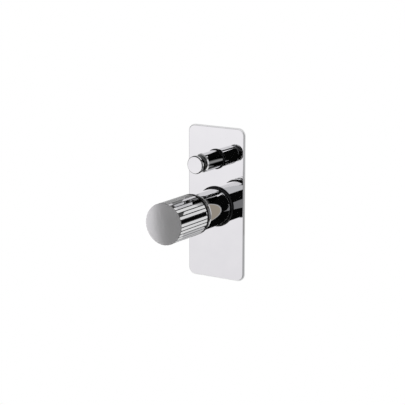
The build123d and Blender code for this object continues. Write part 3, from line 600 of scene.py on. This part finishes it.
mirror_tone = ramp_colour(knob_tree, knob_pattern, mirror_low, mirror_high)
satin_tone = ramp_colour(knob_tree, knob_pattern, *satin_colours)
face_share = share_by_depth(knob_tree, knob_place, knob_rim, knob_rim - blend_depth)
facet_share = share_by_radius(knob_tree, knob_place, knob_axis_height, groove_radius, facet_radius)
edge_share = share_by_radius(knob_tree, knob_place, knob_axis_height, rear_radius, edge_radius)
collar_share = share_by_depth(knob_tree, knob_place, collar_rear, collar_rear - blend_depth)
front_share = share_by_depth(knob_tree, knob_place, collar_front, collar_front - blend_depth)
grooved_colour = two_tones(knob_tree, facet_share, groove_painted_shade, mirror_tone)
edge_colour = two_tones(knob_tree, edge_share, groove_painted_shade, mirror_tone)
rear_colour = two_tones(knob_tree, collar_share, edge_colour, collar_painted_shade)
side_colour = two_tones(knob_tree, front_share, rear_colour, grooved_colour)
knob_colour = two_tones(knob_tree, face_share, side_colour, satin_tone)
knob_tree.links.new(knob_colour, knob_shader.inputs["Base Color"])
dress(knob_chrome, "mixer_knob")

# %% Faceted knob polish
satin_metallic = 0.73
facet_film_scale = 30
facet_film = (0.015, 0.04)
satin_scale = 60
satin_film = (0.32, 0.36)
knob_wave_depth = 0.000003
face_metal = knob_tree.nodes.new("ShaderNodeMapRange")
face_metal.inputs["To Min"].default_value = 1.0
face_metal.inputs["To Max"].default_value = satin_metallic
knob_tree.links.new(face_share, face_metal.inputs["Value"])
knob_tree.links.new(face_metal.outputs["Result"], knob_shader.inputs["Metallic"])
facet_roughness = spread(knob_tree, noise(knob_tree, knob_place, facet_film_scale), *facet_film)
satin_roughness = spread(knob_tree, noise(knob_tree, knob_place, satin_scale), *satin_film)
knob_roughness = knob_tree.nodes.new("ShaderNodeMix")
knob_tree.links.new(face_share, knob_roughness.inputs["Factor"])
knob_tree.links.new(facet_roughness, knob_roughness.inputs["A"])
knob_tree.links.new(satin_roughness, knob_roughness.inputs["B"])
knob_tree.links.new(knob_roughness.outputs["Result"], knob_shader.inputs["Roughness"])
relief(knob_tree, noise(knob_tree, knob_place, wave_scale, wave_detail), knob_wave_depth, knob_shader)
print("knob polish ready")

# %% [markdown]
# ## Brass
# The body is sand-cast, so its skin is grainy and a little dull. The unions, the nut, the spindle, the
# headwork and the diverter's rod and piston are turned on a lathe, which leaves fine rings round their axis.
# Rings cut into the mesh would need very many faces, so a wave along that axis gives them as a fine relief.

# %% Cast brass
cast_low = (0.5, 0.36, 0.17)
cast_high = (0.66, 0.5, 0.26)
cast_roughness = (0.36, 0.52)
cast_blotch_scale = 70
cast_blotch_detail = 6
cast_skin_scale = 300
cast_grain_scale = 900
cast_depth = 0.0003
fine_detail = 4
cast_brass, cast_tree, cast_shader, cast_place = new_finish("cast_brass", metallic=1.0)
cast_blotches = noise(cast_tree, cast_place, cast_blotch_scale, cast_blotch_detail)
cast_skin = noise(cast_tree, cast_place, cast_skin_scale, fine_detail)
cast_grain = noise(cast_tree, cast_place, cast_grain_scale, fine_detail)
tint(cast_tree, cast_blotches, cast_low, cast_high, cast_shader)
cast_tree.links.new(spread(cast_tree, cast_skin, *cast_roughness), cast_shader.inputs["Roughness"])
relief(cast_tree, cast_grain, cast_depth, cast_shader)
dress(cast_brass, "valve_body")

# %% Turned brass
turned_low = (0.7, 0.52, 0.25)
turned_high = (0.8, 0.62, 0.33)
turned_roughness = (0.2, 0.3)
turned_tint_scale = 60
turned_film_scale = 200
ring_scale = 900
ring_wobble = 0.4
ring_depth = 0.00002


def turned_brass(name, axis):
    """Bright brass with fine lathe rings round one axis."""
    material, tree, shader, place = new_finish(name, metallic=1.0)
    tint(tree, noise(tree, place, turned_tint_scale), turned_low, turned_high, shader)
    film = noise(tree, place, turned_film_scale)
    tree.links.new(spread(tree, film, *turned_roughness), shader.inputs["Roughness"])
    rings = tree.nodes.new("ShaderNodeTexWave")
    rings.bands_direction = axis
    rings.inputs["Scale"].default_value = ring_scale
    rings.inputs["Distortion"].default_value = ring_wobble
    tree.links.new(place, rings.inputs["Vector"])
    relief(tree, rings.outputs["Fac"], ring_depth, shader)
    return material


inlet_brass = turned_brass("turned_brass_across", "X")
axial_brass = turned_brass("turned_brass_axial", "Y")
outlet_brass = turned_brass("turned_brass_upright", "Z")
dress(inlet_brass, "hot_inlet_union", "cold_inlet_union")
dress(outlet_brass, "upper_outlet_union", "lower_outlet_union")
dress(axial_brass, "cartridge_nut", "cartridge_spindle", "diverter_headwork")
dress(axial_brass, "diverter_rod", "diverter_piston", "piston_nut")

# %% [markdown]
# ## Pipe threads
# Each union has a half-inch pipe thread inside. In the model its bore is plain. A small triangle, swept by
# the Screw modifier round the bore's axis, gives the ridge of the thread with its real pitch. A stack of
# rings would be simpler, but only a screw line runs on from turn to turn. The ridge's foot is sunk a little
# into the brass, and both of its ends are closed.

# %% Helpers for wound pieces
merge_distance = 0.000001
smooth_angle = math.radians(40)
thread_pitch = 0.001814
thread_turns = 6
thread_steps = 40
thread_foot = 0.00945
thread_crest = 0.00885
foot_share = 0.42
half_foot = foot_share * thread_pitch


def wind(piece, pitch, turns, steps, turn, place):
    """Sweep a closed outline along a screw line, close both ends and bring the piece to its place."""
    corners = len(piece.data.vertices)
    screw = piece.modifiers.new("screw", "SCREW")
    screw.axis = "Z"
    screw.screw_offset = pitch
    screw.iterations = turns
    screw.steps = steps
    screw.render_steps = steps
    bpy.ops.object.modifier_apply(modifier=screw.name)
    bpy.ops.object.mode_set(mode="EDIT")
    bpy.ops.mesh.select_all(action="SELECT")
    bpy.ops.mesh.remove_doubles(threshold=merge_distance)
    bpy.ops.mesh.fill_holes(sides=corners)
    bpy.ops.mesh.select_all(action="SELECT")
    bpy.ops.mesh.normals_make_consistent(inside=False)
    bpy.ops.object.mode_set(mode="OBJECT")
    piece.rotation_euler = turn
    piece.location = place
    bpy.ops.object.transform_apply(location=True, rotation=True, scale=True)
    bpy.ops.object.shade_smooth_by_angle(angle=smooth_angle)


def pipe_thread(name, start, turn, finish):
    """The ridge of a pipe thread, from its first turn inwards along the union's axis."""
    bpy.ops.object.select_all(action="DESELECT")
    bpy.ops.mesh.primitive_circle_add(vertices=3, radius=1, fill_type="NOTHING")
    ridge = bpy.context.object
    ridge.name = name
    corners = ((thread_crest, 0), (thread_foot, -half_foot), (thread_foot, half_foot))
    for corner, (radius, height) in zip(ridge.data.vertices, corners):
        corner.co = (radius, 0, height)
    wind(ridge, thread_pitch, thread_turns, thread_steps, turn, start)
    ridge.data.materials.append(finish)
    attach(ridge, "fixed")
    print(name, len(ridge.data.polygons), "faces")


# %% Threads in the four unions
thread_inset = 0.0012
hot_low, hot_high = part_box("hot_inlet_union")
cold_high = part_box("cold_inlet_union")[1]
upper_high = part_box("upper_outlet_union")[1]
lower_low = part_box("lower_outlet_union")[0]
inlet_y = (hot_low[1] + hot_high[1]) / 2
inlet_z = (hot_low[2] + hot_high[2]) / 2
hot_start = (hot_low[0] + thread_inset, inlet_y, inlet_z)
cold_start = (cold_high[0] - thread_inset, inlet_y, inlet_z)
upper_start = (0, inlet_y, upper_high[2] - thread_inset)
lower_start = (0, inlet_y, lower_low[2] + thread_inset)
pipe_thread("hot_inlet_thread", hot_start, (0, quarter_turn, 0), inlet_brass)
pipe_thread("cold_inlet_thread", cold_start, (0, -quarter_turn, 0), inlet_brass)
pipe_thread("upper_outlet_thread", upper_start, (2 * quarter_turn, 0, 0), outlet_brass)
pipe_thread("lower_outlet_thread", lower_start, (0, 0, 0), outlet_brass)

# %% [markdown]
# ## Small pieces
# Screws and spring are satin stainless steel, the seals rubber, the gasket behind the plate foam, the
# washers pressed fibre, and the cartridge and the check valves moulded plastic, with two lapped ceramic
# discs. Each has its own colour change, roughness and grain. One helper makes them all, because only these
# values differ.

# %% Helper for small pieces
tint_coarseness = 6
film_coarseness = 3


def small_finish(name, pieces, low, high, rough, grain, depth, metallic=0.0):
    """A finish of two close colours, a roughness range and a fine grain, given to its pieces."""
    material, tree, shader, place = new_finish(name, metallic)
    tint(tree, noise(tree, place, grain / tint_coarseness, fine_detail), low, high, shader)
    film = noise(tree, place, grain / film_coarseness)
    tree.links.new(spread(tree, film, *rough), shader.inputs["Roughness"])
    relief(tree, noise(tree, place, grain, fine_detail), depth, shader)
    dress(material, *pieces)


# %% Steel, rubber, foam and fibre
small_finish(
    "stainless_steel", ("insert_screw", "knob_grub_screw", "return_spring"), metallic=1.0,
    low=(0.55, 0.55, 0.56), high=(0.68, 0.68, 0.69), rough=(0.22, 0.34), grain=900, depth=0.00001,
)
plate_seals = ("mixer_plate_seal", "diverter_plate_seal")
valve_seals = ("port_seals", "spindle_seals", "rod_seals", "cage_seal", "piston_seals")
small_finish(
    "black_rubber", plate_seals + valve_seals,
    low=(0.012, 0.012, 0.012), high=(0.03, 0.03, 0.03), rough=(0.55, 0.75), grain=1200, depth=0.00004,
)
small_finish(
    "gasket_foam", ("plate_gasket",),
    low=(0.05, 0.05, 0.052), high=(0.11, 0.11, 0.112), rough=(0.85, 0.95), grain=1500, depth=0.0003,
)
small_finish(
    "sealing_fibre", ("union_washers", "headwork_washer"),
    low=(0.24, 0.09, 0.05), high=(0.36, 0.15, 0.09), rough=(0.7, 0.85), grain=1400, depth=0.0001,
)

# %% Plastics and ceramic
small_finish(
    "black_plastic", ("glide_ring", "knob_insert"),
    low=(0.008, 0.008, 0.009), high=(0.018, 0.018, 0.02), rough=(0.38, 0.5), grain=1000, depth=0.00003,
)
small_finish(
    "housing_plastic", ("cartridge_housing", "cartridge_base"),
    low=(0.68, 0.69, 0.7), high=(0.76, 0.77, 0.78), rough=(0.4, 0.52), grain=900, depth=0.00003,
)
small_finish(
    "stop_plastic", ("stop_ring",),
    low=(0.62, 0.12, 0.03), high=(0.72, 0.17, 0.05), rough=(0.4, 0.52), grain=900, depth=0.00003,
)
small_finish(
    "valve_plastic", ("check_valves",),
    low=(0.72, 0.72, 0.69), high=(0.8, 0.8, 0.77), rough=(0.42, 0.55), grain=900, depth=0.00003,
)
small_finish(
    "lapped_ceramic", ("fixed_ceramic_disc", "moving_ceramic_disc"),
    low=(0.82, 0.79, 0.73), high=(0.88, 0.86, 0.8), rough=(0.12, 0.2), grain=1500, depth=0.000005,
)

# %% [markdown]
# ## Return spring
# A pulled diverter presses its spring together. The model's spring keeps its length here, so it is wound
# again with the Screw modifier: a small ring of wire, turned round the rod's axis. Its sizes come from the
# model's spring.

# %% Return spring
pull_axis_height = 0.052
wire_radius = 0.00045
wire_corners = 12
coil_turns = 6
coil_steps = 48
coil_low, coil_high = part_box("return_spring")
coil_radius = (coil_high[0] - coil_low[0]) / 2 - wire_radius
coil_length = coil_high[1] - coil_low[1] - 2 * wire_radius
coil_start = (0, coil_low[1] + wire_radius, pull_axis_height)
bpy.ops.object.select_all(action="DESELECT")
bpy.ops.mesh.primitive_circle_add(
    vertices=wire_corners,
    radius=wire_radius,
    location=(coil_radius, 0, 0),
    rotation=(quarter_turn, 0, 0),
)
spring = bpy.context.object
spring.name = "wound_spring"
bpy.ops.object.transform_apply(location=True, rotation=True, scale=True)
wind(spring, coil_length / coil_turns, coil_turns, coil_steps, (-quarter_turn, 0, 0), coil_start)
spring.data.materials.append(nodes["return_spring"].material_slots[0].material)
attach(spring, "fixed")
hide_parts("return_spring")
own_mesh(spring)
